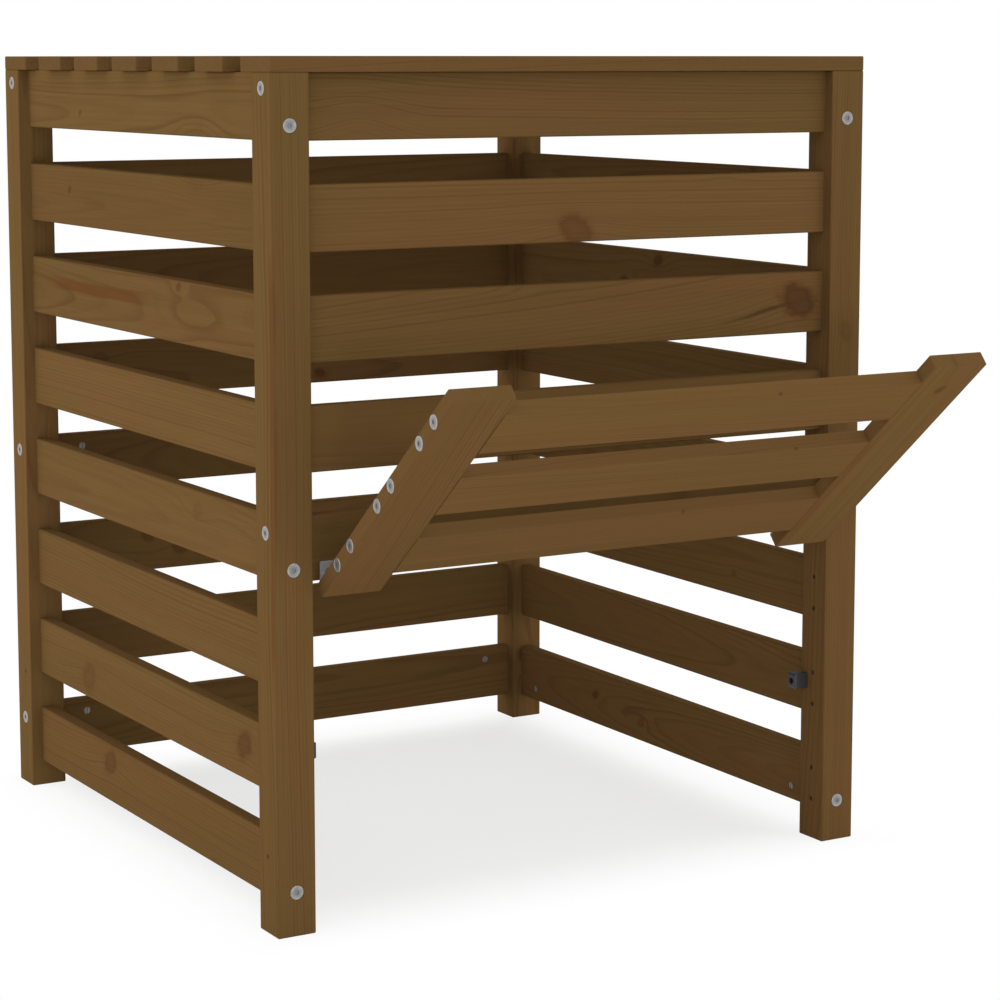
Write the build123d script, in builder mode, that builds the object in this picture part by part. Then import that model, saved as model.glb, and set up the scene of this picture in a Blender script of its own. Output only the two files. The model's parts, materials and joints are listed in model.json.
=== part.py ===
"""Slatted timber compost bin with a hinged lid and a hinged hatch flap in front, in millimetres.

The origin is on the ground at the middle of the four feet. +Z is up and -Y is the front.
The flap is modelled swung open and the lid shut.
"""
import os
from math import cos, radians, sin
from typing import NamedTuple

from build123d import *

# Overall size, over the posts and up to the lid's top
width = 820
depth = 820
height = 1000

# Planed timber
edge_radius = 1.5
end_chamfer = 1
post_section = 48
slat_height = 76
slat_thickness = 18
lid_board_width = 76
lid_board_thickness = 18
batten_width = 48
batten_thickness = 18
stile_width = 76

# Slatted sides: rows are counted from the top, and the flap closes the front's lower rows
slat_rows = 8
front_rows = 5
slat_recess = 15
ground_gap = 34

# Lid
lid_boards = 7
batten_inset = 100
batten_end_gap = 7
batten_screw_spread = 24
batten_screw_end = 18

# Pairs of holes at every slat end
hole_margin = 17.5
drill_relief = 0.5
dowel_radius = 3
dowel_clearance = 0.05
dowel_bolt_gap = 2.8

# Connector bolts with disc heads, sunk into seats, and the barrel nuts that they pull on
bolt_radius = 3
bolt_hole_clearance = 0.2
bolt_head_radius = 8.5
bolt_head_height = 1.8
bolt_head_chamfer = 0.4
bolt_head_proud = 0.2
bolt_seat_clearance = 0.2
bolt_socket_radius = 2.9
bolt_socket_depth = 1.3
bolt_tip = 7
nut_radius = 5
nut_inset = 40
nut_skin = 3
nut_set_in = 1
nut_clearance = 0.05
nut_slot_width = 1.4
nut_slot_depth = 1.2

# Hatch flap
flap_open = 130
flap_side_gap = 7.5
flap_ground_gap = 3
flap_hinge_drop = 5.5
flap_screw_grip = 40
stile_nose = 8

# Butt hinges
knuckles = 5
knuckle_radius = 3
knuckle_gap = 0.3
knuckle_clear = 3.6
pin_radius = 1.5
pin_clearance = 0.05
pin_cap = 0.8
leaf_thickness = 1.6
leaf_corner = 2
leaf_width = 25
flap_hinge_length = 60
flap_hinge_screw_spread = 40
lid_hinge_length = 40
lid_hinge_screw_spread = 24
lid_leaf_margin = 1
hinge_slat_gap = 0.2

# Countersunk wood screws
screw_radius = 1.6
screw_clearance = 0.05
screw_point = 4
screw_slot_width = 0.8
screw_slot_depth = 0.9
hinge_screw_length = 16
batten_screw_length = 30
stop_screw_length = 30

# Stop blocks behind the shut flap
stop_length = 20
stop_depth = 17
stop_height = 19
stop_rise = 205
stop_flap_gap = 1
stop_corner = 3
stop_bore_radius = 4.2
stop_bore_depth = 8

# Worked out from the sizes above
UP = Vector(0, 0, 1)
RIGHT = Vector(1, 0, 0)
BACK = Vector(0, 1, 0)
post_height = height - lid_board_thickness
row_pitch = (post_height - slat_height - ground_gap) / (slat_rows - 1)
hole_offset = slat_height / 2 - hole_margin
bolt_hole_radius = bolt_radius + bolt_hole_clearance
bolt_seat_radius = bolt_head_radius + bolt_seat_clearance
bolt_seat_depth = bolt_head_height - bolt_head_proud
bolt_reach = nut_inset + bolt_tip
bolt_length = post_section - bolt_seat_depth + bolt_reach
dowel_depth = post_section / 2 - bolt_hole_radius - dowel_bolt_gap
screw_head_radius = screw_radius + leaf_thickness
lid_leaf_width = lid_board_thickness - lid_leaf_margin
front_face = -depth / 2 + slat_recess
bolted_rows = (0, front_rows - 1, slat_rows - 1)


def row_height(row):
    """Height of the middle of a row of slats."""
    return post_height - slat_height / 2 - row * row_pitch


class Panel(NamedTuple):
    """One slatted side: the way it looks, its fixed rows, its bolted rows and where the bolts go."""

    name: str
    outward: Vector
    rows: int
    bolted: tuple
    bolt_lift: float

    def half(self):
        return width / 2 if self.outward.X else depth / 2

    def length(self):
        return (depth if self.outward.X else width) - 2 * post_section

    def along(self):
        return UP.cross(self.outward)

    def centre(self, row):
        return self.outward * (self.half() - slat_recess - slat_thickness / 2) + UP * row_height(row)


class Fixing(NamedTuple):
    """One hole where a slat's end meets a post: Z of its place points into the post."""

    panel: Panel
    row: int
    place: Plane
    filling: str


class Bore(NamedTuple):
    """A hole to drill: Z of its mouth points out of the wood, and head is a countersink's radius."""

    mouth: Plane
    radius: float
    depth: float
    head: float = 0


panels = (
    Panel("front", -BACK, front_rows, bolted_rows[:-1], hole_offset),
    Panel("rear", BACK, slat_rows, bolted_rows, hole_offset),
    Panel("left", -RIGHT, slat_rows, bolted_rows, -hole_offset),
    Panel("right", RIGHT, slat_rows, bolted_rows, -hole_offset),
)


def panel_fixings(panel):
    """The pairs of holes of every row, of which the front's lower rows stay empty."""
    for row in range(slat_rows):
        for end in (-1, 1):
            joint = panel.centre(row) + panel.along() * end * panel.length() / 2
            for lift in (hole_offset, -hole_offset):
                if row >= panel.rows:
                    filling = "empty"
                elif row in panel.bolted and lift == panel.bolt_lift:
                    filling = "bolt"
                else:
                    filling = "dowel"
                place = Plane(origin=joint + UP * lift, z_dir=panel.along() * end)
                yield Fixing(panel, row, place, filling)


fixings = [fixing for panel in panels for fixing in panel_fixings(panel)]
bolt_fixings = [fixing for fixing in fixings if fixing.filling == "bolt"]

# Hinge axes and the open flap's own frame: X along the hinge, Y up the shut flap, Z out of its face
flap_axis = Vector(0, front_face - knuckle_radius,
                   row_height(front_rows - 1) - slat_height / 2 - knuckle_radius - hinge_slat_gap)
lid_axis = Vector(0, depth / 2 + knuckle_radius, post_height)
flap_frame = Plane(origin=flap_axis, x_dir=RIGHT,
                   z_dir=(0, -cos(radians(flap_open)), sin(radians(flap_open))))
flap_middle = -knuckle_radius - slat_thickness / 2
stile_outer = width / 2 - post_section - flap_side_gap
stile_inner = stile_outer - stile_width
stile_middle = (stile_outer + stile_inner) / 2
stile_length = flap_axis.Z - flap_hinge_drop - flap_ground_gap
lid_hinge_x = width / 2 - post_section / 2


def flap_plane(point, z_dir):
    """A plane at a point of the flap, both given in the flap's own frame."""
    origin = flap_frame.from_local_coords(point)
    tip = flap_frame.from_local_coords(Vector(*point) + Vector(*z_dir))
    return Plane(origin=origin, z_dir=tip - origin)


def save(part, name):
    """Label a finished piece and write it to its own file."""
    part.label = name
    export_step(part, f"parts/{name}.step")


def plank(name, start, along, face, length, section, bores=(), eased=False, nose=0):
    """Planed timber from the middle of its first end, with its thickness along face.

    Ends that stay in the open are eased, and ends that butt against other timber are square.
    Nose is the radius that rounds the first end over towards face.
    """
    profile = Plane(origin=start, x_dir=face, z_dir=along)
    with BuildPart() as timber:
        with BuildSketch(profile):
            RectangleRounded(*section, edge_radius)
        extrude(amount=length)
        if eased:
            chamfer(timber.faces().filter_by(profile).edges(), end_chamfer)
        if nose:
            corner = start + face * section[0] / 2
            with BuildSketch(Plane(origin=corner, x_dir=along, z_dir=along.cross(face))):
                Rectangle(2 * nose, 2 * nose)
                with Locations((nose, -nose)):
                    Circle(nose, mode=Mode.SUBTRACT)
            extrude(amount=section[1], both=True, mode=Mode.SUBTRACT)
        for radius, bore_depth, head in sorted({bore[1:] for bore in bores}):
            mouths = [bore.mouth for bore in bores if bore[1:] == (radius, bore_depth, head)]
            with Locations(*mouths):
                if head:
                    CounterSinkHole(radius, head, bore_depth, counter_sink_angle=90)
                else:
                    Hole(radius, bore_depth)
    save(timber.part, name)


def group(name, *batches):
    """Separate solids of one node, from batches of a shape and the places of its copies."""
    with BuildPart() as copies:
        for shape, places in batches:
            with Locations(*places):
                add(shape)
    save(copies.part, name)


# Shared fasteners, each with its seat at the origin and its head towards +Z

def disc_bolt(length):
    """Bolt with a flat disc head, a chamfered rim and a hexagon socket."""
    with BuildPart() as bolt:
        Cylinder(bolt_head_radius, bolt_head_height, align=(Align.CENTER, Align.CENTER, Align.MIN))
        chamfer(bolt.edges().group_by(Axis.Z)[-1], bolt_head_chamfer)
        with BuildSketch(Plane.XY.offset(bolt_head_height)):
            RegularPolygon(bolt_socket_radius, 6)
        extrude(amount=-bolt_socket_depth, mode=Mode.SUBTRACT)
        Cylinder(bolt_radius, length, align=(Align.CENTER, Align.CENTER, Align.MAX))
    return bolt.part


def wood_screw(length):
    """Countersunk screw with a pointed tip and a cross recess, its head flush with the origin."""
    cone = screw_head_radius - screw_radius
    with BuildPart() as screw:
        with BuildSketch(Plane.XZ):
            with BuildLine():
                Polyline((0, 0), (screw_head_radius, 0), (screw_radius, -cone),
                         (screw_radius, screw_point - length), (0, -length), close=True)
            make_face()
        revolve(axis=Axis.Z)
        for turn in (0, 90):
            Box(2 * screw_radius, screw_slot_width, 2 * screw_slot_depth, rotation=(0, 0, turn),
                mode=Mode.SUBTRACT)
    return screw.part


def barrel_nut():
    """Cross dowel nut in a slat: X along the bolt, Z out of the slat's inner face."""
    nut_length = slat_thickness - nut_skin - nut_set_in
    with BuildPart() as nut:
        with BuildSketch(Plane.XY.offset(-nut_set_in)):
            Circle(nut_radius)
        extrude(amount=-nut_length)
        with Locations((0, 0, -slat_thickness / 2)):
            Cylinder(bolt_radius + nut_clearance, 3 * nut_radius, rotation=(0, 90, 0), mode=Mode.SUBTRACT)
        with Locations((0, 0, -nut_set_in)):
            Box(nut_slot_width, 3 * nut_radius, 2 * nut_slot_depth, mode=Mode.SUBTRACT)
    return nut.part


def hinge_leaf(length, breadth, first_knuckle, screw_places):
    """Leaf of a butt hinge: the pin lies along X, the plate hangs towards -Y and its back faces -Z."""
    step = length / knuckles
    plate_middle = leaf_thickness / 2 - knuckle_radius
    own = [(knuckle + 0.5) * step - length / 2 for knuckle in range(first_knuckle, knuckles, 2)]
    with BuildPart() as leaf:
        with Locations((0, -(breadth + knuckle_clear) / 2, plate_middle)):
            Box(length, breadth - knuckle_clear, leaf_thickness)
        fillet(leaf.edges().filter_by(Axis.Z).group_by(Axis.Y)[0], leaf_corner)
        with Locations(*[(x, -knuckle_clear / 2, plate_middle) for x in own]):
            Box(step - knuckle_gap, knuckle_clear, leaf_thickness)
        with Locations(*[(x, 0, 0) for x in own]):
            Cylinder(knuckle_radius, step - knuckle_gap, rotation=(0, 90, 0))
        Cylinder(pin_radius + pin_clearance, length, rotation=(0, 90, 0), mode=Mode.SUBTRACT)
        with Locations(*screw_places):
            CounterSinkHole(screw_radius + screw_clearance, screw_head_radius + screw_clearance,
                            leaf_thickness, counter_sink_angle=90)
    return leaf.part


def hinge_pin(length):
    """Hinge pin along X with a small cap at each end."""
    with BuildPart() as pin:
        Cylinder(pin_radius, length, rotation=(0, 90, 0))
        with Locations(*[(end * (length + pin_cap) / 2, 0, 0) for end in (-1, 1)]):
            Cylinder(knuckle_radius, pin_cap, rotation=(0, 90, 0))
    return pin.part


def leaf_screws(breadth, spread, count):
    """Screw seats on a leaf's front, in the leaf's own frame."""
    middle = -(breadth + knuckle_clear) / 2
    steps = [spread * (index / (count - 1) - 0.5) for index in range(count)]
    return [Vector(x, middle, leaf_thickness - knuckle_radius) for x in steps]


flap_leaf_seats = leaf_screws(leaf_width, flap_hinge_screw_spread, 3)
lid_post_seats = leaf_screws(leaf_width, lid_hinge_screw_spread, 2)
lid_edge_seats = leaf_screws(lid_leaf_width, lid_hinge_screw_spread, 2)

# Where each leaf stands, in the frame of hinge_leaf
flap_fixed_leaves = [Plane(origin=flap_axis + RIGHT * side * stile_middle, x_dir=-RIGHT, z_dir=-BACK)
                     for side in (-1, 1)]
flap_moving_leaves = [Plane(origin=flap_axis + RIGHT * side * stile_middle, x_dir=RIGHT,
                            z_dir=flap_frame.z_dir) for side in (-1, 1)]
lid_fixed_leaves = [Plane(origin=lid_axis + RIGHT * side * lid_hinge_x, x_dir=-RIGHT, z_dir=BACK)
                    for side in (-1, 1)]
lid_moving_leaves = [Plane(origin=lid_axis + RIGHT * side * lid_hinge_x, x_dir=RIGHT, z_dir=BACK)
                     for side in (-1, 1)]


def screw_places(leaves, seats):
    """Planes of the hinge screws' heads, with Z out of the leaf."""
    return [Plane(origin=leaf.from_local_coords(seat), z_dir=leaf.z_dir)
            for leaf in leaves for seat in seats]


def hinge_bores(places):
    """Pilot holes in the wood behind a leaf."""
    return [Bore(place.offset(-leaf_thickness), screw_radius + screw_clearance,
                 hinge_screw_length - leaf_thickness + drill_relief) for place in places]


flap_fixed_screws = screw_places(flap_fixed_leaves, flap_leaf_seats)
flap_moving_screws = screw_places(flap_moving_leaves, flap_leaf_seats)
lid_fixed_screws = screw_places(lid_fixed_leaves, lid_post_seats)
lid_moving_screws = screw_places(lid_moving_leaves, lid_edge_seats)

# Stop blocks: X of the place points from the post into the opening, and Z is up
stop_front = front_face + slat_thickness + stop_flap_gap
stop_places = [Plane(origin=(side * (width / 2 - post_section), stop_front, stop_rise),
                     x_dir=-RIGHT * side, z_dir=UP) for side in (-1, 1)]


def stop_screw_place(stop):
    """Head of a stop's screw, sunk in its bore and facing the opening."""
    seat = stop.origin + stop.x_dir * (stop_length - stop_bore_depth) + BACK * stop_depth / 2
    return Plane(origin=seat, z_dir=stop.x_dir)


def in_post(place, side, end):
    """Whether a place lies on the post of that corner."""
    return place.origin.X * side > 0 and place.origin.Y * end > 0


def turned(place):
    """The same place, looking the other way."""
    return Plane(origin=place.origin, z_dir=-place.z_dir)


os.makedirs("parts", exist_ok=True)

# Posts
for side, side_name in ((-1, "left"), (1, "right")):
    for end, end_name in ((-1, "front"), (1, "rear")):
        bores = []
        for fixing in fixings:
            if in_post(fixing.place, side, end):
                if fixing.filling == "bolt":
                    head = fixing.place.offset(post_section)
                    bores.append(Bore(head, bolt_hole_radius, post_section))
                    bores.append(Bore(head, bolt_seat_radius, bolt_seat_depth))
                else:
                    bores.append(Bore(turned(fixing.place), dowel_radius + dowel_clearance,
                                      dowel_depth + drill_relief))
        bores += [bore for bore in hinge_bores(lid_fixed_screws) if in_post(bore.mouth, side, end)]
        for stop in stop_places:
            if in_post(stop, side, end):
                screw = stop_screw_place(stop)
                grip = stop_screw_length - stop_length + stop_bore_depth
                bores.append(Bore(screw.offset(stop_bore_depth - stop_length),
                                  screw_radius + screw_clearance, grip + drill_relief))
        foot = Vector(side * (width - post_section) / 2, end * (depth - post_section) / 2, 0)
        plank(f"post_{end_name}_{side_name}", foot, UP, RIGHT, post_height,
              (post_section, post_section), bores, eased=True)


def nut_mouth(fixing):
    """Mouth of a barrel nut's hole, on the slat's inner face, with X along the bolt."""
    inward = -fixing.panel.outward
    origin = fixing.place.origin - fixing.place.z_dir * nut_inset + inward * slat_thickness / 2
    return Plane(origin=origin, x_dir=fixing.place.z_dir, z_dir=inward)


# Slats of the four sides
for panel in panels:
    for row in range(panel.rows):
        bores = []
        for fixing in fixings:
            if fixing.panel is panel and fixing.row == row:
                if fixing.filling == "bolt":
                    bores.append(Bore(fixing.place, bolt_hole_radius, bolt_reach + drill_relief))
                    bores.append(Bore(nut_mouth(fixing), nut_radius + nut_clearance,
                                      slat_thickness - nut_skin + drill_relief))
                else:
                    bores.append(Bore(fixing.place, dowel_radius + dowel_clearance,
                                      dowel_depth + drill_relief))
        if panel.name == "front" and row == front_rows - 1:
            bores += hinge_bores(flap_fixed_screws)
        start = panel.centre(row) - panel.along() * panel.length() / 2
        plank(f"slat_{panel.name}_{row + 1}", start, panel.along(), panel.outward, panel.length(),
              (slat_thickness, slat_height), bores)

# Frame fasteners
bolt_seats = [fixing.place.offset(post_section - bolt_seat_depth) for fixing in bolt_fixings]
group("frame_bolts", (disc_bolt(bolt_length), bolt_seats))
group("barrel_nuts", (barrel_nut(), [nut_mouth(fixing) for fixing in bolt_fixings]))
with BuildPart() as dowels:
    with Locations(*[fixing.place for fixing in fixings if fixing.filling == "dowel"]):
        Cylinder(dowel_radius, 2 * dowel_depth)
save(dowels.part, "dowels")

# Lid: boards across the bin, battens under them
batten_half = depth / 2 - slat_recess - slat_thickness - batten_end_gap
batten_x = width / 2 - batten_inset - batten_width / 2
lid_pitch = (depth - lid_board_width) / (lid_boards - 1)
batten_screws = []
for board in range(lid_boards):
    board_y = board * lid_pitch - (depth - lid_board_width) / 2
    reach = batten_half - batten_screw_end
    screw_y = max(-reach, min(reach, board_y))
    seats = [Plane(origin=(side * batten_x + spread, screw_y, post_height - batten_thickness), z_dir=-UP)
             for side in (-1, 1) for spread in (-batten_screw_spread / 2, batten_screw_spread / 2)]
    batten_screws += seats
    bores = [Bore(seat.offset(-batten_thickness), screw_radius + screw_clearance,
                  batten_screw_length - batten_thickness + drill_relief) for seat in seats]
    if board == lid_boards - 1:
        bores += hinge_bores(lid_moving_screws)
    plank(f"lid_board_{board + 1}", Vector(-width / 2, board_y, post_height + lid_board_thickness / 2),
          RIGHT, UP, width, (lid_board_thickness, lid_board_width), bores, eased=True)
for side, side_name in ((-1, "left"), (1, "right")):
    bores = [Bore(seat, screw_radius + screw_clearance, batten_thickness,
                  screw_head_radius + screw_clearance)
             for seat in batten_screws if seat.origin.X * side > 0]
    batten_start = Vector(side * batten_x, -batten_half, post_height - batten_thickness / 2)
    plank(f"lid_batten_{side_name}", batten_start, BACK, UP, 2 * batten_half,
          (batten_thickness, batten_width), bores, eased=True)
group("lid_screws", (wood_screw(batten_screw_length), batten_screws),
      (wood_screw(hinge_screw_length), lid_moving_screws))

# Flap: slats butted between two stiles, with two long screws through the stile into each slat end
flap_rows = [row_height(row) - flap_axis.Z for row in range(front_rows, slat_rows)]
flap_screw_length = stile_width - bolt_seat_depth + flap_screw_grip
flap_screws = []
for side, side_name in ((-1, "left"), (1, "right")):
    bores = [bore for bore in hinge_bores(flap_moving_screws) if bore.mouth.origin.X * side > 0]
    for row_y in flap_rows:
        for lift in (hole_offset, -hole_offset):
            head = flap_plane((side * stile_outer, row_y + lift, flap_middle), (side, 0, 0))
            flap_screws.append(head.offset(-bolt_seat_depth))
            bores.append(Bore(head, bolt_hole_radius, stile_width))
            bores.append(Bore(head, bolt_seat_radius, bolt_seat_depth))
    plank(f"flap_stile_{side_name}",
          flap_frame.from_local_coords((side * stile_middle, -flap_hinge_drop, flap_middle)),
          -flap_frame.y_dir, flap_frame.z_dir, stile_length, (slat_thickness, stile_width), bores,
          eased=True, nose=stile_nose)
for index, row_y in enumerate(flap_rows):
    bores = [Bore(flap_plane((side * stile_inner, row_y + lift, flap_middle), (side, 0, 0)),
                  bolt_hole_radius, flap_screw_grip + drill_relief)
             for side in (-1, 1) for lift in (hole_offset, -hole_offset)]
    plank(f"flap_slat_{index + 1}", flap_frame.from_local_coords((-stile_inner, row_y, flap_middle)),
          RIGHT, flap_frame.z_dir, 2 * stile_inner, (slat_thickness, slat_height), bores)
group("flap_screws", (disc_bolt(flap_screw_length), flap_screws))
group("flap_hinge_screws", (wood_screw(hinge_screw_length), flap_moving_screws))

# Hinges: the pins stay in the fixed leaves
group("flap_hinge_fixed_leaves",
      (hinge_leaf(flap_hinge_length, leaf_width, 0, flap_leaf_seats), flap_fixed_leaves))
group("flap_hinge_moving_leaves",
      (hinge_leaf(flap_hinge_length, leaf_width, 1, flap_leaf_seats), flap_moving_leaves))
group("lid_hinge_fixed_leaves",
      (hinge_leaf(lid_hinge_length, leaf_width, 0, lid_post_seats), lid_fixed_leaves))
group("lid_hinge_moving_leaves",
      (hinge_leaf(lid_hinge_length, lid_leaf_width, 1, lid_edge_seats), lid_moving_leaves))
group("hinge_pins", (hinge_pin(flap_hinge_length), flap_fixed_leaves),
      (hinge_pin(lid_hinge_length), lid_fixed_leaves))

# Stop blocks, with a deep bore for the screw's head
with BuildPart() as stop_block:
    with Locations((stop_length / 2, 0, 0)):
        Box(stop_length, stop_depth, stop_height)
    fillet(stop_block.faces().sort_by(Axis.X)[-1].edges(), stop_corner)
    with Locations(Plane(origin=(stop_length, 0, 0), z_dir=(1, 0, 0))):
        Hole(stop_bore_radius, stop_bore_depth)
    with Locations(Plane(origin=(stop_length - stop_bore_depth, 0, 0), z_dir=(1, 0, 0))):
        CounterSinkHole(screw_radius + screw_clearance, screw_head_radius + screw_clearance,
                        stop_length, counter_sink_angle=90)
stop_seats = [Plane(origin=stop.origin + BACK * stop_depth / 2, x_dir=stop.x_dir, z_dir=UP)
              for stop in stop_places]
group("stop_blocks", (stop_block.part, stop_seats))
group("frame_screws", (wood_screw(hinge_screw_length), flap_fixed_screws + lid_fixed_screws),
      (wood_screw(stop_screw_length), [stop_screw_place(stop) for stop in stop_places]))
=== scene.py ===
"""Looks of the slatted compost bin: stained pine, zinc fittings and dark plastic stops.

Metres, +Z up, -Y is the front. All patterns are procedural and read Object coordinates.
"""

import json
import math
import random
from typing import NamedTuple

import bmesh
import bpy
from mathutils import Matrix, Vector


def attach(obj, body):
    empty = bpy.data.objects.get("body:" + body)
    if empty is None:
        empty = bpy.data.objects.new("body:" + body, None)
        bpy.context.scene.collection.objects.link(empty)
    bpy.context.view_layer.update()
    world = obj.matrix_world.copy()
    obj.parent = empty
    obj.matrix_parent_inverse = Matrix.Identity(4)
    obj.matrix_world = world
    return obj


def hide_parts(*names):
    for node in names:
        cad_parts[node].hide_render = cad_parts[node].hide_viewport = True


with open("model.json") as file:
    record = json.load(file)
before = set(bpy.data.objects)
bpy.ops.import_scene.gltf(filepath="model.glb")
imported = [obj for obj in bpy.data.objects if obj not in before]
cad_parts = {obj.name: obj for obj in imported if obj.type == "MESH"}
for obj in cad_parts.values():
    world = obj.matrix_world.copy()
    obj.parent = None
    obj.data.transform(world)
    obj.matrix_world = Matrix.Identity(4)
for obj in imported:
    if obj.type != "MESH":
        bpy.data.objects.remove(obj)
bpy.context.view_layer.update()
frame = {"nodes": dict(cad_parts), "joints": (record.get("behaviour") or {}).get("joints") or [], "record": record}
nodes = frame["nodes"]
bodies = frame["record"]["behaviour"]["bodies"]
joints = {joint["name"]: joint for joint in frame["joints"]}


def seen(red, green, blue):
    """A colour as a screen shows it, 0 to 255, made Blender's linear colour."""
    def linear(level):
        share = level / 255
        return share / 12.92 if share <= 0.04045 else ((share + 0.055) / 1.055) ** 2.4
    return (linear(red), linear(green), linear(blue), 1.0)


# Camera, at the photograph's place and angle
CAMERA_PLACE = Vector((-1.7246, -3.1329, 0.997))
CAMERA_YAW = math.radians(30.56)
CAMERA_PITCH = math.radians(7.127)
CAMERA_LENS = 98.3
CAMERA_SHIFT = -0.10

# Floor and sky
WHITE = (1.0, 1.0, 1.0, 1.0)
FLOOR_HALF = 40.0
FLOOR_PALE = (0.92, 0.92, 0.92, 1.0)
FLOOR_SHADED = (0.3, 0.3, 0.3, 1.0)
FLOOR_GLOW = 0.70
FLOOR_LIT_REACH = 0.28
FLOOR_WHITE_REACH = 0.49
SKY_LIGHT = 0.88

# Stain on the pine, from the plain wood to the knots
HONEY = seen(113, 87, 51)
OLIVE = seen(107, 82, 47)
RUSSET = seen(112, 82, 49)
REDDISH = seen(104, 66, 37)
LATE_WOOD = seen(88, 63, 36)
KNOT_HEART = seen(84, 56, 35)
KNOT_BARK = seen(70, 46, 28)
END_WOOD = seen(100, 75, 45)
# Darker brown for painted shade on the narrow sides of slats, and for the darker arrises
EDGE_SHADE_AND_DARKENING = seen(96, 70, 40)

# How much of each stain shows, as shares. A pair runs from the least to the most
BAND_STAIN = 0.6
LINE_STAIN = 0.5
STREAK_STAIN = (0.7, 1.0)
FLECK_STAIN = 0.7
HALO_STAIN = 0.4
HEART_STAIN = (0.75, 0.95)
BARK_STAIN = 0.5
TAIL_STAIN = 0.8
END_SOAK = 0.5
# Painted shade on the narrow sides of slats, where less light falls
SIDE_PAINTED_SHADE = 0.4
# Darker along the arrises, in a patchy band
ARRIS_DARKENING = 0.4

# Patterns in the wood, in cycles per metre along, across and through a board
WANDER_STRETCH = (1.5, 5.0, 5.0)
WOBBLE_STRETCH = (9.0, 55.0, 55.0)
FIBRE_STRETCH = (7.0, 520.0, 520.0)
GRIT_STRETCH = (55.0, 100.0, 100.0)
BAND_STRETCH = (1.1, 85.0, 85.0)
PATCH_STRETCH = (2.1, 13.0, 13.0)
ARRIS_STRETCH = (38.0, 90.0, 90.0)
BOARD_STEP = (1.93, 0.87, 1.31)

# Growth rings: lengths in metres, and late wood as shares of a ring
RING_WIDTH = 0.0038
RING_WOBBLE = 0.25
RING_WANDER = (0.0, 0.022, 0.022)
LATE_RISE = (0.4, 0.88)
LATE_FALL = (0.9, 1.0)
LATE_STRENGTH = (0.2, 1.0)

# Knots, in knot radii, but for the least radius in metres
LEAST_RADIUS = 0.0001
KNOT_LENGTH = 0.8
KNOT_SLANT = 0.25
KNOT_GRIT = 0.5
KNOT_SPREAD = 0.6
KNOT_PUSH = 0.7
KNOT_RINGS = 3.0
HALO_EDGE = (0.8, 2.2)
HEART_EDGE = (0.7, 1.15)
BARK_RISE = (0.35, 0.95)
BARK_FALL = (0.95, 1.5)
TAIL_SLANT = 0.2
TAIL_GRIT = 0.25
TAIL_EDGE = (0.0, 0.28)
TAIL_RISE = (-7.5, -3.0)
TAIL_FALL = (-2.0, -0.6)
TAIL_REST = 0.2

# Patches, bands, streaks and flecks
PATCH_EDGE = (0.34, 0.66)
BAND_EDGE = (0.35, 0.7)
STREAK_WANDER = (0.0, 0.012, 0.012)
STREAK_RAGGED = 0.5
STREAK_EDGE = (0.7, 1.2)
STREAK_END = (-0.02, 0.06)
FLECK_RADIUS = 0.004
FLECK_EDGE = (0.3, 1.1)

# Sawn ends, narrow sides and arrises, in metres
END_EDGE = (0.0004, 0.0012)
SIDE_EDGE = (0.0006, 0.0018)
ARRIS_WIDTH = 0.0022
ARRIS_PATCHY = (0.2, 1.8)
ARRIS_EDGE = (0.35, 1.0)
SLAT_ASPECT = 1.5

# Gloss and relief of the wood
FIBRE_SHADE = (0.88, 1.12)
FIBRE_ROUGHNESS = (0.66, 0.86)
LINE_POLISH = 0.06
WOOD_SPECULAR = 0.002
FIBRE_RELIEF = 0.5
LINE_RELIEF = 0.35
KNOT_RELIEF = 0.5
WOOD_BUMP = 0.4
WOOD_DEPTH = 0.0003

# What chance gives a board: pith line and its lean, knots, its part of the patterns and its tone
PITH_ASIDE = 0.022
PITH_BELOW = (0.03, 0.10)
LEAN_ASIDE = 0.02
LEAN_BELOW = 0.05
KNOT_ALONG = 0.9
KNOT_ACROSS = 1.0
KNOT_RADII = (0.003, 0.009)
KNOT_SHOWS = (0.3, 0.8)
CLEAR_SHARE = 0.4
BOARD_NUMBERS = (1.0, 40.0)
BOARD_TONES = (0.96, 1.04)


class Knot(NamedTuple):
    """A knot: its place from the board's middle, its radius, and how much it and its tail show.

    The flow says how soon the rings close again behind the knot: a small one bends them over a
    long way.
    """

    along: float
    across: float
    radius: float
    shows: float = 1.0
    flow: float = 0.24
    tail: float = 0.0


class Streak(NamedTuple):
    """A reddish streak with the grain: its line, its radius, its span and how much it shows."""

    across: float
    through: float
    radius: float
    start: float
    stop: float
    shows: float = 1.0


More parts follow.
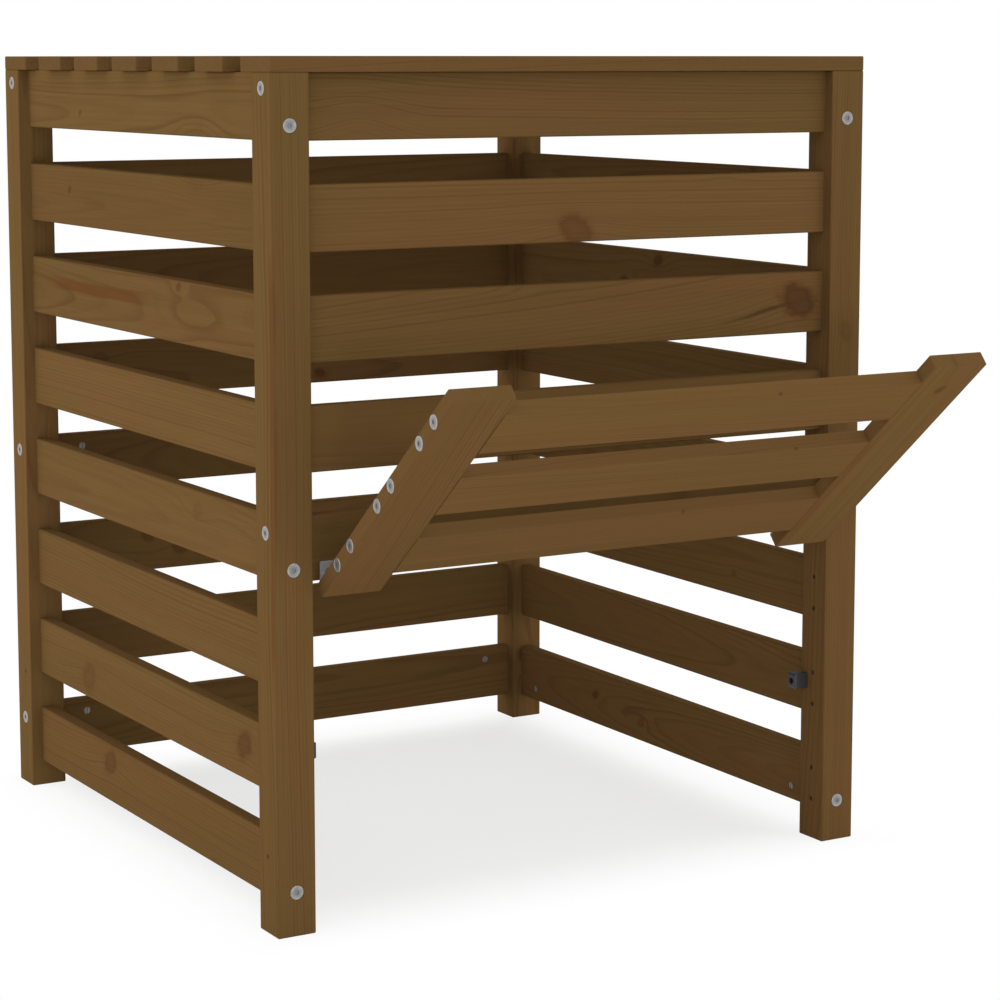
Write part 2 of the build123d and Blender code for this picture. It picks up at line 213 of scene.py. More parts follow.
# Knots and streaks that show in the photograph. A knot that shows nothing only bends the rings
KNOTS = {
    "slat_front_1": (Knot(-0.29, -0.018, 0.022, 0.0, 0.4), Knot(0.25, -0.03, 0.006, 0.0)),
    "slat_front_2": (Knot(-0.003, -0.024, 0.017, 0.5, 0.2), Knot(0.21, 0.045, 0.008, 0.0)),
    "slat_front_3": (Knot(0.324, 0.002, 0.018, 0.9, 0.22, 0.9), Knot(-0.06, 0.05, 0.012, 0.0)),
    "slat_left_1": (Knot(-0.181, -0.036, 0.013, 0.1, 0.2), Knot(0.181, -0.016, 0.003, 0.5)),
    "slat_left_2": (Knot(-0.181, 0.036, 0.013, 0.1, 0.2), Knot(0.222, 0.008, 0.004, 0.5)),
    "slat_left_3": (Knot(-0.122, 0.03, 0.005, 0.5, 0.2), Knot(-0.155, 0.002, 0.015, 0.0, 0.13)),
    "slat_left_5": (Knot(-0.17, 0.014, 0.009, 0.15, 0.2), Knot(0.2, -0.04, 0.006, 0.0)),
    "slat_left_7": (Knot(0.186, -0.010, 0.016, 0.28, 0.2), Knot(-0.292, 0.003, 0.014, 0.5)),
    "slat_left_8": (Knot(0.119, 0.014, 0.014, 0.42, 0.2), Knot(-0.2, -0.04, 0.006, 0.2)),
    "slat_right_6": (Knot(-0.19, -0.009, 0.004, 0.3), Knot(0.2, 0.03, 0.004, 0.0)),
    "flap_stile_right": (Knot(-0.15, 0.0, 0.005, 0.5), Knot(-0.201, -0.006, 0.003, 0.4)),
    "post_front_right": (Knot(0.166, 0.002, 0.009, 0.2, 0.3), Knot(0.3, 0.05, 0.006, 0.0)),
}
NO_KNOT = Knot(0.0, 0.0, 0.0, 0.0)
STREAKS = {
    "slat_left_3": Streak(0.0095, -0.009, 0.009, -0.03, 0.30),
    "post_front_left": Streak(-0.024, -0.02, 0.005, -0.2, 0.3, 0.7),
    "flap_stile_right": Streak(-0.032, 0.009, 0.006, -0.08, 0.2, 0.5),
}
NO_STREAK = Streak(0.0, 0.0, 0.001, 9.0, 9.1)

# Boards that chance gives no knots
CLEAR_BOARDS = {
    "post_front_left", "post_front_right", "post_rear_left",
    "slat_front_1", "slat_front_4", "slat_front_5", "slat_left_4", "slat_left_6", "slat_right_4",
    "flap_stile_left", "flap_slat_1", "flap_slat_2", "flap_slat_3",
}

# Small dark flecks, as places from the board's middle
FLECKS = {
    "flap_slat_1": (0.079, -0.038, -0.009),
    "flap_slat_2": (0.172, -0.038, -0.009),
    "flap_slat_3": (0.078, -0.038, -0.009),
    "post_front_left": (-0.40, -0.024, 0.002),
    "post_rear_left": (-0.333, -0.024, -0.005),
}
NO_FLECK = (9.0, 9.0, 9.0)

# Pith lines of the boards with straight grain, far to the side of the face that shows
PITHS = {
    "post_front_left": (0.0, 0.08, -0.06),
    "post_front_right": (0.0, 0.08, -0.06),
    "slat_front_1": (0.0, 0.09, -0.05),
    "slat_front_2": (0.0, 0.10, -0.06),
    "slat_front_3": (0.0, 0.09, -0.08),
    "slat_left_4": (0.0, -0.09, -0.08),
    "slat_left_6": (0.0, 0.08, -0.09),
    "slat_left_7": (0.0, 0.09, -0.09),
    "slat_left_8": (0.0, 0.09, -0.08),
    "flap_stile_left": (0.0, 0.09, -0.05),
    "flap_stile_right": (0.0, 0.09, -0.06),
    "flap_slat_1": (0.0, 0.09, -0.06),
    "flap_slat_2": (0.0, -0.09, -0.06),
    "flap_slat_3": (0.0, 0.10, -0.07),
}

# Tones of the boards that are paler or darker in the photograph
# slat_front_1's darker tone is partly painted shadow, the shade of the lid above it on the top slat
TONES = {
    "post_front_right": 0.935, "post_rear_left": 1.03,
    "slat_front_1": 0.925, "slat_front_2": 1.01, "slat_left_2": 0.92, "slat_left_4": 1.03,
    "flap_stile_right": 1.08, "flap_slat_1": 1.03, "flap_slat_2": 1.07, "flap_slat_3": 1.08,
}


class Surface(NamedTuple):
    """A plated, moulded or turned surface: its colours, its mottling, its gloss and its relief.

    The mottling is Slow, with patches of one size, and Fine, with grains of another. tint and
    gloss say which of them mixes the colours and the roughness.
    """

    dark: tuple
    pale: tuple
    tint: str
    gloss: str
    patch: float
    grain: float
    roughness: tuple
    bump: float
    depth: float = 0.0001
    metallic: float = 0.0


def zinc(dark, pale, metallic):
    """Satin zinc plate, between a dull and a bright grey."""
    return Surface(dark, pale, tint="Slow", gloss="Slow", patch=0.004, grain=0.0006,
                   roughness=(0.32, 0.46), bump=0.15, metallic=metallic)


SURFACES = {
    "zinc_plate": zinc(seen(150, 146, 141), seen(170, 165, 159), metallic=0.7),
    # Paler and less metallic than the zinc plate: painted light on hinge leaves that sit in shade
    "hinge_plate_painted_light": zinc(seen(160, 164, 168), seen(186, 188, 189), metallic=0.2),
    "nut_plate": zinc(seen(124, 123, 119), seen(142, 140, 135), metallic=0.3),
    "moulded_plastic": Surface(
        seen(38, 39, 42), seen(47, 48, 51), tint="Slow", gloss="Fine", patch=0.009, grain=0.0005,
        roughness=(0.42, 0.62), bump=0.3),
    "beech_dowel": Surface(
        seen(196, 160, 116), seen(214, 182, 140), tint="Fine", gloss="Slow", patch=0.006,
        grain=0.0009, roughness=(0.55, 0.7), bump=0.2, depth=0.0002),
}
# Painted shade: a darker grey in bolt sockets and dishes
RECESS_PAINTED_SHADE = seen(123, 127, 131)

# Nodes that have each of these surfaces. All others are boards
FITTINGS = {
    "zinc_plate": ("frame_bolts", "frame_screws", "hinge_pins", "lid_screws", "flap_screws",
                   "flap_hinge_screws"),
    "hinge_plate_painted_light": ("lid_hinge_fixed_leaves", "lid_hinge_moving_leaves",
                    "flap_hinge_fixed_leaves", "flap_hinge_moving_leaves"),
    "nut_plate": ("barrel_nuts",),
    "moulded_plastic": ("stop_blocks",),
    "beech_dowel": ("dowels",),
}

# Bolts whose heads show, with the bodies that carry them
TURNED_BOLTS = {"frame_bolts": "frame", "flap_screws": "flap"}

# Turned bolts, in metres
HEAD_HEIGHT = 0.0018
RIM_ROUND = 0.0009
RIM_STEPS = 6
DISH_RADIUS = 0.0064
DISH_DEPTH = 0.0003
DISH_LIP = 0.0003
DISH_SLOPE = 0.6
DISH_SHADE = 0.2
SOCKET_RADIUS = 0.0026
SOCKET_DEPTH = 0.0010
SHANK_RADIUS = 0.003
SHANK_TIP = 0.0006
BOLT_STEPS = 48
SHARP = math.radians(28)
SAME_POINT = 1e-6
SAME_CIRCLE = 1e-5
CIRCLE_MARGIN = 1e-4


class Wiring:
    """Adds nodes to one shader tree. A value is a number, a colour, a vector or a socket."""

    def __init__(self, tree):
        self.tree = tree

    def feed(self, socket, value):
        if isinstance(value, bpy.types.NodeSocket):
            self.tree.links.new(value, socket)
        else:
            socket.default_value = value

    def node(self, kind, feeds=None, **settings):
        made = self.tree.nodes.new("ShaderNode" + kind)
        for name, value in settings.items():
            setattr(made, name, value)
        for name, value in (feeds or {}).items():
            self.feed(made.inputs[name], value)
        return made

    def group(self, tree, feeds):
        return self.node("Group", feeds, node_tree=tree).outputs

    def math(self, operation, *values):
        made = self.node("Math", operation=operation)
        for socket, value in zip(made.inputs, values):
            self.feed(socket, value)
        return made.outputs[0]

    def plus(self, first, *others):
        for other in others:
            first = self.math("ADD", first, other)
        return first

    def minus(self, first, second):
        return self.math("SUBTRACT", first, second)

    def times(self, first, *others):
        for other in others:
            first = self.math("MULTIPLY", first, other)
        return first

    def over(self, first, second):
        return self.math("DIVIDE", first, second)

    def vector(self, operation, *values):
        made = self.node("VectorMath", operation=operation)
        for socket, value in zip(made.inputs, values):
            self.feed(socket, value)
        return made.outputs["Value" if operation == "LENGTH" else "Vector"]

    def scaled(self, vector, factor):
        made = self.node("VectorMath", {0: vector, "Scale": factor}, operation="SCALE")
        return made.outputs["Vector"]

    def split(self, vector):
        return self.node("SeparateXYZ", {0: vector}).outputs[:]

    def join(self, x, y, z):
        return self.node("CombineXYZ", {0: x, 1: y, 2: z}).outputs[0]

    def rise(self, value, low, high, bottom=0.0, top=1.0):
        """Smooth step of a value up from bottom at low to top at high."""
        ends = {"From Min": low, "From Max": high, "To Min": bottom, "To Max": top}
        made = self.node("MapRange", {"Value": value, **ends}, interpolation_type="SMOOTHSTEP")
        return made.outputs[0]

    def fall(self, value, low, high, top=1.0, bottom=0.0):
        """Smooth step of a value down from top at low to bottom at high."""
        return self.rise(value, low, high, top, bottom)

    def between(self, value, low, high):
        """Straight line from low at 0 to high at 1."""
        return self.node("MapRange", {"Value": value, "To Min": low, "To Max": high}).outputs[0]

    def mix(self, share, first, second, blend="MIX"):
        made = self.node("Mix", {0: share, 6: first, 7: second}, data_type="RGBA",
                         blend_type=blend)
        return made.outputs[2]

    def noise(self, vector, detail=2.0, roughness=0.5):
        feeds = {"Vector": vector, "Scale": 1.0, "Detail": detail, "Roughness": roughness}
        return self.node("TexNoise", feeds).outputs

    def bump(self, strength, distance, height):
        feeds = {"Strength": strength, "Distance": distance, "Height": height}
        return self.node("Bump", feeds).outputs[0]


def shader_group(name, takes, gives):
    """A node group with named sockets: its tree, its wiring, what it is given and its results."""
    tree = bpy.data.node_groups.new(name, "ShaderNodeTree")
    for way, sockets in (("INPUT", takes), ("OUTPUT", gives)):
        for label, kind in sockets.items():
            tree.interface.new_socket(name=label, in_out=way, socket_type="NodeSocket" + kind)
    given = tree.nodes.new("NodeGroupInput").outputs
    result = tree.nodes.new("NodeGroupOutput").inputs
    return tree, Wiring(tree), given, result


class KnotField(NamedTuple):
    """What a knot is to a point of the wood, as sockets.

    The point's place from the knot and its distance from the heart are in knot radii. The push
    is how far the knot moves the rings there, in metres.
    """

    along: bpy.types.NodeSocket
    across: bpy.types.NodeSocket
    span: bpy.types.NodeSocket
    push: bpy.types.NodeSocket


def knot_field(wire, x, y, knot, flow, grit):
    """The field of one knot, an oval that slants with the grain and has a ragged edge."""
    heart_x, heart_y, radius = wire.split(knot)
    safe = wire.math("MAXIMUM", radius, LEAST_RADIUS)
    along = wire.over(wire.minus(x, heart_x), safe)
    across = wire.over(wire.minus(y, heart_y), safe)
    slanted = wire.plus(across, wire.times(along, KNOT_SLANT))
    oval = wire.join(wire.times(along, KNOT_LENGTH), slanted, 0.0)
    span = wire.plus(wire.vector("LENGTH", oval), grit)
    around = wire.join(wire.times(along, flow), wire.times(across, KNOT_SPREAD), 0.0)
    bend = wire.vector("LENGTH", around)
    push = wire.math("EXPONENT", wire.times(bend, bend, -1.0))
    return KnotField(along, across, span, wire.times(push, wire.times(radius, KNOT_PUSH)))


def late_wood_lines(wire, given, wander, wobble, fields):
    """Growth rings about the pith line, pushed aside by the knots, as a mask of their late wood."""
    x, y, z = wire.split(given["Place"])
    centre = wire.vector("ADD", given["Pith"], wire.scaled(given["Lean"], x))
    about = wire.vector("SUBTRACT", wire.join(0.0, y, z), centre)
    about = wire.vector("ADD", about, wire.vector("MULTIPLY", wander, RING_WANDER))
    distance = wire.plus(wire.vector("LENGTH", about), *[field.push for field in fields])
    uneven = wire.between(wobble, -RING_WOBBLE, RING_WOBBLE)
    count = wire.plus(wire.over(distance, RING_WIDTH), uneven)
    within = wire.math("FRACT", count)
    year = wire.plus(wire.math("FLOOR", count), given["Board"])
    weather = wire.node("TexWhiteNoise", {"W": year}, noise_dimensions="1D").outputs["Value"]
    late = wire.times(wire.rise(within, *LATE_RISE), wire.fall(within, *LATE_FALL))
    return wire.times(late, wire.between(wire.times(weather, weather), *LATE_STRENGTH))


def streak_mask(wire, given, wander, wobble):
    """How much of the board's streak is at a point."""
    x, y, z = wire.split(given["Place"])
    line_y, line_z, radius = wire.split(given["Streak Line"])
    start, stop, shows = wire.split(given["Streak Span"])
    aside = wire.join(0.0, wire.minus(y, line_y), wire.minus(z, line_z))
    aside = wire.vector("ADD", aside, wire.vector("MULTIPLY", wander, STREAK_WANDER))
    ragged = wire.between(wobble, -STREAK_RAGGED, STREAK_RAGGED)
    off = wire.plus(wire.over(wire.vector("LENGTH", aside), radius), ragged)
    begun = wire.rise(wire.minus(x, start), *STREAK_END)
    left = wire.rise(wire.minus(stop, x), *STREAK_END)
    return wire.times(wire.fall(off, *STREAK_EDGE), begun, left, shows)


def stain_knot(wire, colour, field, look, grit):
    """The wood's colour with a knot in it, and a mask of the knot's heart."""
    shows, _, tail = look
    halo = wire.times(wire.fall(field.span, *HALO_EDGE, HALO_STAIN), shows)
    heart = wire.times(wire.fall(field.span, *HEART_EDGE), shows)
    bark = wire.times(wire.rise(field.span, *BARK_RISE),
                      wire.fall(field.span, *BARK_FALL, BARK_STAIN), shows)
    rings = wire.math("PINGPONG", wire.times(field.span, KNOT_RINGS), 1.0)
    colour = wire.mix(halo, colour, REDDISH)
    colour = wire.mix(wire.times(heart, wire.between(rings, *HEART_STAIN)), colour, KNOT_HEART)
    colour = wire.mix(bark, colour, KNOT_BARK)
    slope = wire.minus(field.across, wire.times(field.along, TAIL_SLANT))
    off = wire.math("ABSOLUTE", wire.plus(slope, wire.times(grit, TAIL_GRIT)))
    reach = wire.times(wire.rise(field.along, *TAIL_RISE),
                       wire.fall(field.along, *TAIL_FALL, bottom=TAIL_REST))
    feather = wire.times(wire.fall(off, *TAIL_EDGE, TAIL_STAIN), reach, tail)
    return wire.mix(feather, colour, KNOT_BARK), heart


def planed_pine():
    """Pine as a solid: growth rings about a pith line, knots that bend them, fibres and stain."""
    tree, wire, given, result = shader_group(
        "planed_pine",
        {"Place": "Vector", "Board": "Float", "Pith": "Vector", "Lean": "Vector",
         "Knot 1": "Vector", "Knot 2": "Vector", "Look 1": "Vector", "Look 2": "Vector",
         "Streak Line": "Vector", "Streak Span": "Vector", "Fleck": "Vector", "Tone": "Float"},
        {"Color": "Color", "Roughness": "Float", "Height": "Float"})
    place = given["Place"]
    own = wire.vector("ADD", place, wire.scaled(BOARD_STEP, given["Board"]))

    def pattern(stretch, detail, roughness=0.5):
        return wire.noise(wire.vector("MULTIPLY", own, stretch), detail, roughness)

    wander = wire.vector("SUBTRACT", pattern(WANDER_STRETCH, 1.0)["Color"], (0.5, 0.5, 0.5))
    wobble = pattern(WOBBLE_STRETCH, 2.0)["Fac"]
    fibre = pattern(FIBRE_STRETCH, 2.0, 0.65)["Fac"]
    band = pattern(BAND_STRETCH, 2.0, 0.6)["Fac"]
    patch = pattern(PATCH_STRETCH, 1.0)["Fac"]
    grit = wire.between(pattern(GRIT_STRETCH, 2.0)["Fac"], -KNOT_GRIT, KNOT_GRIT)

    x, y, _ = wire.split(place)
    looks = [wire.split(given[label]) for label in ("Look 1", "Look 2")]
    fields = [knot_field(wire, x, y, given[label], flow, grit)
              for label, (_, flow, _) in zip(("Knot 1", "Knot 2"), looks)]
    line = late_wood_lines(wire, given, wander, wobble, fields)

    # Stain: patches, bands, a streak and rings, then a fleck and the knots
    colour = wire.mix(wire.rise(patch, *PATCH_EDGE), OLIVE, RUSSET)
    colour = wire.mix(wire.rise(band, *BAND_EDGE, top=BAND_STAIN), colour, HONEY)
    streak = wire.times(streak_mask(wire, given, wander, wobble), wire.between(band, *STREAK_STAIN))
    colour = wire.mix(streak, colour, REDDISH)
    colour = wire.mix(wire.times(line, LINE_STAIN), colour, LATE_WOOD)
    shade = wire.times(wire.between(fibre, *FIBRE_SHADE), given["Tone"])
    colour = wire.mix(1.0, colour, wire.join(shade, shade, shade), blend="MULTIPLY")
    from_fleck = wire.vector("LENGTH", wire.vector("SUBTRACT", place, given["Fleck"]))
    fleck = wire.fall(wire.over(from_fleck, FLECK_RADIUS), *FLECK_EDGE, FLECK_STAIN)
    colour = wire.mix(fleck, colour, KNOT_BARK)
    relief = wire.plus(wire.times(fibre, FIBRE_RELIEF), wire.times(line, LINE_RELIEF))
    for field, look in zip(fields, looks):
        colour, heart = stain_knot(wire, colour, field, look, grit)
        relief = wire.plus(relief, wire.times(heart, KNOT_RELIEF))
    roughness = wire.minus(wire.between(fibre, *FIBRE_ROUGHNESS), wire.times(line, LINE_POLISH))
    wire.feed(result["Color"], colour)
    wire.feed(result["Roughness"], roughness)
    wire.feed(result["Height"], relief)
    return tree


def timber_edges():
    """Masks of a board's sawn ends, its narrow sides and its arrises, from its half sizes."""
    tree, wire, given, result = shader_group(
        "timber_edges", {"Place": "Vector", "Half": "Vector", "Arris Width": "Float"},
        {"End": "Float", "Arris": "Float", "Side": "Float"})
    inside = wire.vector("SUBTRACT", given["Half"], wire.vector("ABSOLUTE", given["Place"]))
    along, across, through = wire.split(inside)
    wire.feed(result["End"], wire.fall(along, *END_EDGE))
    wire.feed(result["Side"], wire.fall(across, *SIDE_EDGE))
    further = wire.math("MAXIMUM", across, through)
    patchy = wire.noise(wire.vector("MULTIPLY", given["Place"], ARRIS_STRETCH), detail=3.0)["Fac"]
    arris_reach = wire.times(given["Arris Width"], wire.between(patchy, *ARRIS_PATCHY))
    wire.feed(result["Arris"], wire.fall(wire.over(further, arris_reach), *ARRIS_EDGE))
    return tree


def surface_mottle():
    """Slow and fine mottling for plated, moulded and turned surfaces."""
    tree, wire, given, result = shader_group(
        "surface_mottle", {"Place": "Vector", "Patch": "Float", "Grain": "Float"},
        {"Slow": "Float", "Fine": "Float"})

    def mottling(size, detail):
        return wire.noise(wire.scaled(given["Place"], wire.over(1.0, size)), detail)["Fac"]

    wire.feed(result["Slow"], wire.rise(mottling(given["Patch"], 2.0), 0.3, 0.7))
    wire.feed(result["Fine"], mottling(given["Grain"], 3.0))
    return tree


def new_material(name):
    """A node material, its wiring and its Principled shader."""
    material = bpy.data.materials.new(name)
    material.use_nodes = True
    shader = material.node_tree.nodes["Principled BSDF"]
    return material, Wiring(material.node_tree), shader


def box_of(points):
    """Lowest and highest corner of some points."""
    return tuple(Vector([pick(point[axis] for point in points) for axis in range(3)])
                 for pick in (min, max))


class Board(NamedTuple):
    """A board: its middle, its axes as columns (grain, face, thickness) and its half sizes."""

    middle: Vector
    axes: Matrix
    half: Vector


def board_of(name):
    """A board's place, measured on its node, with the flap's boards turned as the flap stands."""
    tilt = Matrix.Identity(3)
    if name in bodies["flap"]:
        hatch = joints["flap_hinge"]
        tilt = Matrix.Rotation(math.radians(-hatch["range_deg"][0]), 3, Vector(hatch["axis"]))
    low, high = box_of([tilt.transposed() @ vertex.co for vertex in nodes[name].data.vertices])
    size = high - low
    grain, face, thickness = sorted(range(3), key=lambda axis: -round(size[axis], 5))
    along, across = tilt.col[grain], tilt.col[face]
    axes = Matrix((along, across, along.cross(across))).transposed()
    half = Vector((size[grain], size[face], size[thickness])) / 2
    return Board(tilt @ ((low + high) / 2), axes, half)


def pine_finish(name, pine, edges):
    """The stained pine of one board, with its own figure, knots and tone."""
    board = board_of(name)
    chance = random.Random(name)
    material, wire, shader = new_material("pine_" + name)
    place = wire.node("Mapping", {
        "Vector": wire.node("TexCoord").outputs["Object"], "Location": board.middle,
        "Rotation": board.axes.to_euler()}, vector_type="TEXTURE").outputs[0]
    pith = PITHS.get(name, (0.0, chance.uniform(-PITH_ASIDE, PITH_ASIDE),
                            -chance.uniform(*PITH_BELOW)))
    lean = (0.0, chance.uniform(-LEAN_ASIDE, LEAN_ASIDE), chance.uniform(-LEAN_BELOW, LEAN_BELOW))
    knots = [Knot(chance.uniform(-KNOT_ALONG, KNOT_ALONG) * board.half.x,
                  chance.uniform(-KNOT_ACROSS, KNOT_ACROSS) * board.half.y,
                  chance.uniform(*KNOT_RADII), chance.uniform(*KNOT_SHOWS)) for _ in range(2)]
    clear = name in CLEAR_BOARDS or chance.random() < CLEAR_SHARE
    first, second = KNOTS.get(name, (NO_KNOT, NO_KNOT) if clear else knots)
    streak = STREAKS.get(name, NO_STREAK)
    wood = wire.group(pine, {
        "Place": place, "Board": chance.uniform(*BOARD_NUMBERS), "Pith": pith, "Lean": lean,
        "Knot 1": first[:3], "Knot 2": second[:3], "Look 1": first[3:], "Look 2": second[3:],
        "Streak Line": streak[:3], "Streak Span": streak[3:],
        "Fleck": FLECKS.get(name, NO_FLECK),
        "Tone": TONES.get(name, chance.uniform(*BOARD_TONES))})
    edge_masks = wire.group(edges, {"Place": place, "Half": board.half, "Arris Width": ARRIS_WIDTH})
    is_slat = board.half.y > SLAT_ASPECT * board.half.z
    # Narrow sides of slats darkened: painted shade, as less light falls on them than on the faces
    side_shade_and_arris = wire.times(edge_masks["Side"], SIDE_PAINTED_SHADE if is_slat else 0.0)
    side_shade_and_arris = wire.math("MAXIMUM", side_shade_and_arris, wire.times(edge_masks["Arris"], ARRIS_DARKENING))
    colour = wire.mix(side_shade_and_arris, wood["Color"], EDGE_SHADE_AND_DARKENING)
    colour = wire.mix(wire.times(edge_masks["End"], END_SOAK), colour, END_WOOD)
    wire.feed(shader.inputs["Base Color"], colour)
    wire.feed(shader.inputs["Roughness"], wood["Roughness"])
    wire.feed(shader.inputs["Normal"], wire.bump(WOOD_BUMP, WOOD_DEPTH, wood["Height"]))
    shader.inputs["Specular IOR Level"].default_value = WOOD_SPECULAR
    return material


def mottled_finish(name, mottle):
    """A plated, moulded or turned surface, with painted shade in grey on the recesses where a piece has them."""
    surface = SURFACES[name]
    material, wire, shader = new_material(name)
    place = wire.node("TexCoord").outputs["Object"]
    cast = wire.group(mottle, {"Place": place, "Patch": surface.patch, "Grain": surface.grain})
    colour = wire.mix(cast[surface.tint], surface.dark, surface.pale)
    painted_recess_shade = wire.node("Attribute", attribute_name="painted_recess_shade").outputs["Fac"]
    wire.feed(shader.inputs["Base Color"], wire.mix(painted_recess_shade, colour, RECESS_PAINTED_SHADE))
    wire.feed(shader.inputs["Roughness"], wire.between(cast[surface.gloss], *surface.roughness))
    wire.feed(shader.inputs["Normal"], wire.bump(surface.bump, surface.depth, cast["Fine"]))
    shader.inputs["Metallic"].default_value = surface.metallic
    return material


def dress(node, material):
    """Give a frame node one material in all its slots."""
    slots = nodes[node].material_slots
    for slot in slots:
        slot.material = material
    if not slots:
        nodes[node].data.materials.append(material)


def dress_frame():
    """Give every frame node its finish, and turn the bolts whose heads show."""
    pine, edges, mottle = planed_pine(), timber_edges(), surface_mottle()
    fittings = {}
    for surface, names in FITTINGS.items():
        fittings.update(dict.fromkeys(names, mottled_finish(surface, mottle)))
    for name in sorted(nodes):
        dress(name, fittings[name] if name in fittings else pine_finish(name, pine, edges))
    for name, body in TURNED_BOLTS.items():
        turn_bolts(name, body, fittings[name])


class Bolt(NamedTuple):
    """A disc-headed bolt: the middle of its head's seat, the way its head looks and its sizes."""

    seat: Vector
    outward: Vector
    radius: float
    length: float


def solids_of(name):
    """Points of each separate solid of a node."""
    shape = bmesh.new()
    shape.from_mesh(nodes[name].data)
    bmesh.ops.remove_doubles(shape, verts=shape.verts, dist=SAME_POINT)
    done = set()
    for first in shape.verts:
        if first in done:
            continue
        done.add(first)
        waiting, points = [first], []
        while waiting:
            vertex = waiting.pop()
            points.append(vertex.co.copy())
            fresh = [edge.other_vert(vertex) for edge in vertex.link_edges]
            fresh = [other for other in fresh if other not in done]
            done.update(fresh)
            waiting += fresh
        yield points
    shape.free()


def bolt_of(points):
    """A bolt, measured on its points: its longest way is its axis, its head is the broad end."""
    low, high = box_of(points)
    size = high - low
    axis = max(range(3), key=lambda way: size[way])
    middle = (low + high) / 2
    outward = Vector([float(way == axis) for way in range(3)])
    radius = max(size[way] for way in range(3) if way != axis) / 2
    tips = [point for point in points if high[axis] - point[axis] < HEAD_HEIGHT / 2]
    spread = max((point - middle - outward * (point - middle)[axis]).length for point in tips)
    if spread < radius / 2:
        outward = -outward
    seat = middle + outward * (size[axis] / 2 - HEAD_HEIGHT)
    return Bolt(seat, outward, radius, size[axis] - HEAD_HEIGHT)


def bolt_profile(bolt):
    """Half outline of a bolt from the socket's floor over the rim to the tip: radius, height."""
    floor = HEAD_HEIGHT - SOCKET_DEPTH
    turns = [math.radians(90 * step / RIM_STEPS) for step in range(RIM_STEPS + 1)]
    rim = [(bolt.radius - RIM_ROUND * (1 - math.sin(turn)),
            HEAD_HEIGHT - RIM_ROUND * (1 - math.cos(turn))) for turn in turns]
    return [
        (0.0, floor), (SOCKET_RADIUS, floor), (SOCKET_RADIUS, HEAD_HEIGHT - DISH_DEPTH),
        (DISH_RADIUS - DISH_LIP, HEAD_HEIGHT - DISH_DEPTH * DISH_SLOPE),
        (DISH_RADIUS, HEAD_HEIGHT), *rim, (bolt.radius, 0.0), (SHANK_RADIUS, 0.0),
        (SHANK_RADIUS, SHANK_TIP - bolt.length), (SHANK_RADIUS - SHANK_TIP, -bolt.length),
        (0.0, -bolt.length)]


def add_bolt(shape, painted_recess_shade, bolt):
    """Spin one bolt, press its socket into a hexagon and set it in its place."""
    old = set(shape.verts)
    points = [shape.verts.new((radius, 0.0, height)) for radius, height in bolt_profile(bolt)]
    edges = [shape.edges.new(pair) for pair in zip(points, points[1:])]
    bmesh.ops.spin(shape, geom=points + edges, cent=(0, 0, 0), axis=(0, 0, 1), angle=math.tau,
                   steps=BOLT_STEPS, use_merge=True)
    turned = [vertex for vertex in shape.verts if vertex not in old]
    half_flats = SOCKET_RADIUS * math.cos(math.pi / 6)
    for vertex in turned:
        if vertex.co.z <= 0.0:
            continue
        span = math.hypot(vertex.co.x, vertex.co.y)
        # Socket and dish get painted shade, through the recess attribute and its grey
        if span < DISH_RADIUS - CIRCLE_MARGIN:
            vertex[painted_recess_shade] = 1.0 if span < SOCKET_RADIUS + CIRCLE_MARGIN else DISH_SHADE
        if abs(span - SOCKET_RADIUS) < SAME_CIRCLE:
            side = math.atan2(vertex.co.y, vertex.co.x) % (math.pi / 3) - math.pi / 6
            vertex.co.xy *= half_flats / math.cos(side) / span
    facing = bolt.outward.to_track_quat("Z", "Y").to_matrix().to_4x4()
    bmesh.ops.transform(shape, matrix=Matrix.Translation(bolt.seat) @ facing, verts=turned)


def turn_bolts(name, body, material):
    """Bolts with round heads in place of a node's bolts."""
    shape = bmesh.new()
    painted_recess_shade = shape.verts.layers.float.new("painted_recess_shade")
    for points in solids_of(name):
        add_bolt(shape, painted_recess_shade, bolt_of(points))
    bmesh.ops.remove_doubles(shape, verts=shape.verts, dist=SAME_POINT)
    bmesh.ops.recalc_face_normals(shape, faces=shape.faces)
    for face in shape.faces:
        face.smooth = True
    for edge in shape.edges:
        edge.smooth = edge.calc_face_angle(0.0) < SHARP
    piece = new_piece(name + "_turned", shape, material)
    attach(piece, body)
    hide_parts(name)


def new_piece(name, shape, material):
    """An object in the scene with a shape and a material."""
    mesh = bpy.data.meshes.new(name)
    shape.to_mesh(mesh)
    shape.free()
    mesh.materials.append(material)
    piece = bpy.data.objects.new(name, mesh)
    bpy.context.scene.collection.objects.link(piece)
    return piece


def shows_background(wire):
    """1 for rays from the camera and for reflections, 0 for light on the object."""
    path = wire.node("LightPath").outputs
    mirrored = wire.math("MAXIMUM", path["Is Camera Ray"], path["Is Glossy Ray"])
    return wire.math("MAXIMUM", mirrored, path["Is Transmission Ray"])


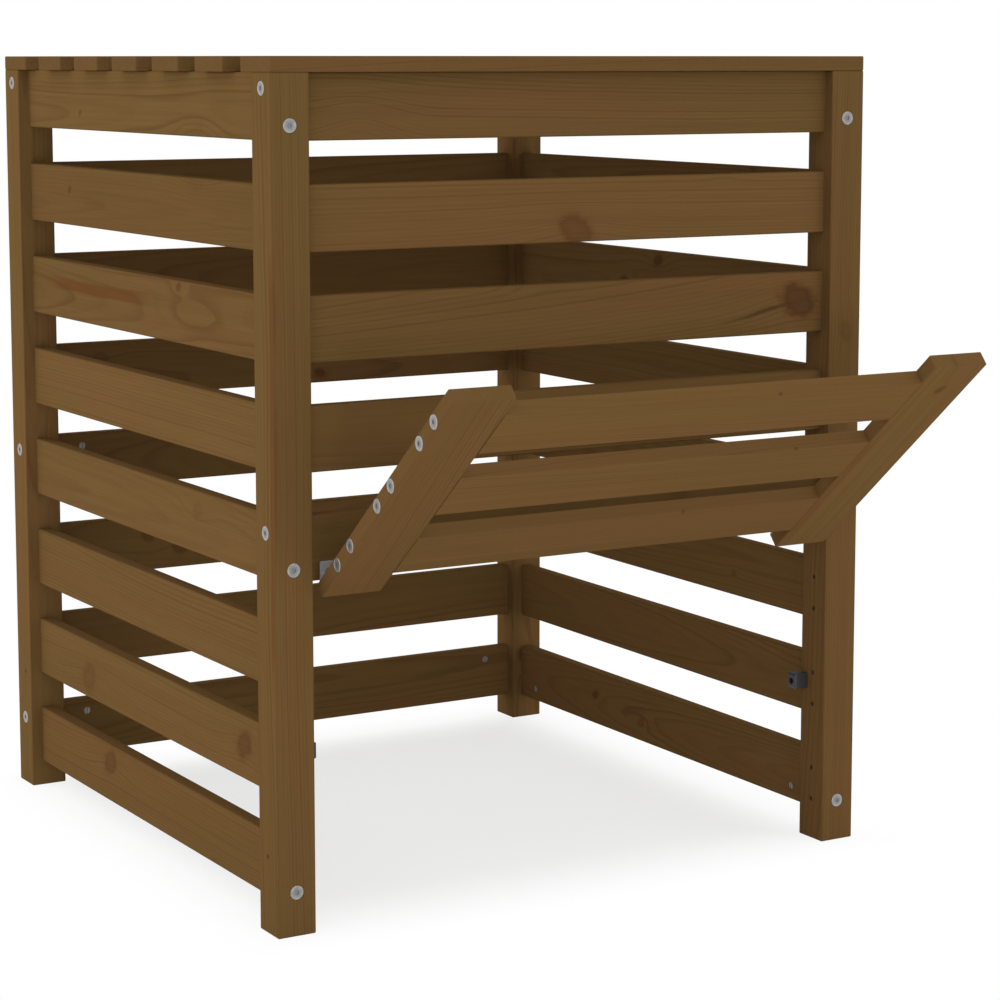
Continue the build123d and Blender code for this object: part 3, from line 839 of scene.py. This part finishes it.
def make_floor():
    """Pale floor that keeps the bin's soft shadow and fades to white away from it."""
    material, wire, shader = new_material("pale_floor")
    shows = shows_background(wire)
    wire.feed(shader.inputs["Base Color"], wire.mix(shows, FLOOR_PALE, FLOOR_SHADED))
    shader.inputs["Roughness"].default_value = 1.0
    shader.inputs["Specular IOR Level"].default_value = 0.0
    glow = wire.node("Emission", {"Color": WHITE, "Strength": wire.times(shows, FLOOR_GLOW)})
    lit = wire.node("AddShader", {0: shader.outputs[0], 1: glow.outputs[0]})
    white = wire.node("Emission", {"Color": WHITE, "Strength": 1.0})
    place = wire.node("TexCoord").outputs["Object"]
    reach_x, reach_y, _ = wire.split(wire.vector("ABSOLUTE", place))
    reach = wire.math("MAXIMUM", reach_x, reach_y)
    away = wire.times(wire.rise(reach, FLOOR_LIT_REACH, FLOOR_WHITE_REACH), shows)
    faded = wire.node("MixShader", {0: away, 1: lit.outputs[0], 2: white.outputs[0]})
    output = material.node_tree.nodes["Material Output"]
    wire.feed(output.inputs["Surface"], faded.outputs[0])
    shape = bmesh.new()
    bmesh.ops.create_grid(shape, x_segments=1, y_segments=1, size=FLOOR_HALF)
    floor = new_piece("floor", shape, material)


def make_sky():
    """Even white sky that lights the object softly and shows white to the camera."""
    world = bpy.data.worlds.new("white_sky")
    world.use_nodes = True
    wire = Wiring(world.node_tree)
    background = world.node_tree.nodes["Background"]
    background.inputs["Color"].default_value = WHITE
    strength = wire.between(shows_background(wire), SKY_LIGHT, 1.0)
    wire.feed(background.inputs["Strength"], strength)
    bpy.context.scene.world = world


def make_lamp(name, place, target, size, power):
    """Square soft lamp that the camera doesn't see."""
    lamp = bpy.data.lights.new(name, "AREA")
    lamp.shape = "SQUARE"
    lamp.size = size
    lamp.energy = power
    holder = bpy.data.objects.new(name, lamp)
    holder.location = place
    holder.rotation_euler = (Vector(target) - Vector(place)).to_track_quat("-Z", "Y").to_euler()
    holder.visible_camera = False
    bpy.context.scene.collection.objects.link(holder)


def make_camera():
    camera = bpy.data.cameras.new("camera")
    camera.lens = CAMERA_LENS
    camera.shift_y = CAMERA_SHIFT
    holder = bpy.data.objects.new("camera", camera)
    holder.location = CAMERA_PLACE
    holder.rotation_euler = (math.pi / 2 - CAMERA_PITCH, 0, -CAMERA_YAW)
    bpy.context.scene.collection.objects.link(holder)
    bpy.context.scene.camera = holder


dress_frame()
make_floor()
make_sky()
make_lamp("overhead", place=(0, 0, 6.0), target=(0, 0, 0), size=6.0, power=50.0)
make_lamp("left", place=(-5.0, 0.6, 1.0), target=(0, 0, 0.5), size=3.0, power=56.0)
make_lamp("front", place=(-0.8, -5.5, 0.3), target=(0, 0, 0.5), size=1.0, power=38.0)
make_camera()
bpy.context.scene.view_settings.view_transform = "Standard"
